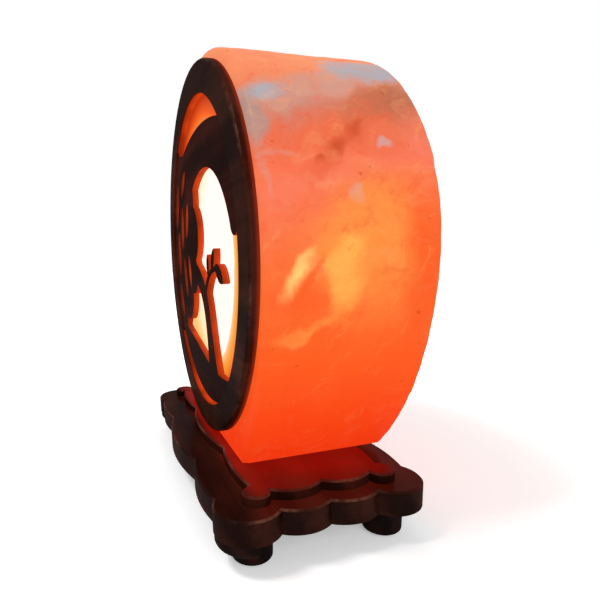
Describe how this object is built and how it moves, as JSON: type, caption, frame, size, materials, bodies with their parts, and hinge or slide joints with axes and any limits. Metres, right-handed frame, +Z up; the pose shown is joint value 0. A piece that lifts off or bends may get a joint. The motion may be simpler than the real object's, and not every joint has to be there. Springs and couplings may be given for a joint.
{
  "type": "salt crystal lamp",
  "caption": "Lit salt lamp: upright round salt block with a light chamber, a wooden ring with a sawn fretwork front, a two-tier lobed stand on round feet, and a pull-out holder with bulb.",
  "frame": {"origin": "middle of the stand at floor level", "axes": "+X along the lamp's width, -Y towards the fretwork front, +Z up"},
  "size_m": [0.2034, 0.1036, 0.2276],
  "materials": {
    "salt": "lit from inside, satin",
    "ring_wood": "dark stained, satin",
    "fretwork_wood": "dark stained, sawn edges",
    "upper_wood": "dark red-brown varnish",
    "lower_wood": "dark red-brown varnish",
    "foot_wood": "dark stained",
    "dowel_wood": "bare",
    "felt": "felt",
    "steel": "zinc plated",
    "plug_plastic": "matt",
    "holder_plastic": "matt black",
    "cap_plastic": "matt black",
    "block_ceramic": "glazed",
    "brass": "plain",
    "spring_steel": "spring temper",
    "gland_rubber": "soft",
    "bulb_glass": "clear",
    "bulb_metal": "bright",
    "bulb_insulator": "vitreous",
    "solder": "matt",
    "stem_glass": "clear",
    "lead_wire": "plain",
    "filament": "glowing"
  },
  "bodies": {
    "lamp": {"salt_drum": "salt", "front_ring": "ring_wood", "fretwork_panel": "fretwork_wood", "ring_pins": "dowel_wood", "upper_tier": "upper_wood", "lower_tier": "lower_wood", "foot_front_left": "foot_wood", "foot_front_right": "foot_wood", "foot_back_left": "foot_wood", "foot_back_right": "foot_wood", "foot_pads": "felt", "foot_dowels": "dowel_wood", "tier_screws": "steel", "salt_screws": "steel", "salt_plugs": "plug_plastic"},
    "holder": {"holder_end_cap": "cap_plastic", "cord_gland": "gland_rubber", "holder_body": "holder_plastic", "terminal_block": "block_ceramic", "terminal_screws": "brass", "centre_contact": "brass", "threaded_sleeve": "brass", "wing_band": "spring_steel", "wing_pins": "steel"},
    "wing_left": {"spring_wing_left": "spring_steel"},
    "wing_right": {"spring_wing_right": "spring_steel"},
    "bulb": {"bulb_contact": "solder", "bulb_insulator": "bulb_insulator", "bulb_cap": "bulb_metal", "bulb_glass": "bulb_glass", "bulb_stem": "stem_glass", "bulb_leads": "lead_wire", "bulb_filament": "filament"}
  },
  "joints": [
    {"name": "holder_slide", "type": "slide", "parent": "lamp", "child": "holder", "axis": [0, 0, -1], "range_m": [0, 0.095]},
    {"name": "wing_left_press", "type": "hinge", "parent": "holder", "child": "wing_left", "pos_m": [-0.016, 0, 0.0359], "axis": [0, 1, 0], "range_deg": [0, 7], "stiffness_Nm_per_rad": 0.02, "springref_deg": -11.46},
    {"name": "wing_right_press", "type": "hinge", "parent": "holder", "child": "wing_right", "pos_m": [0.016, 0, 0.0359], "axis": [0, -1, 0], "range_deg": [0, 7], "stiffness_Nm_per_rad": 0.02, "springref_deg": -11.46},
    {"name": "bulb_turn", "type": "hinge", "parent": "holder", "child": "bulb", "pos_m": [0, 0, 0.0507], "axis": [0, 0, 1], "range_deg": [0, 1350]}
  ]
}
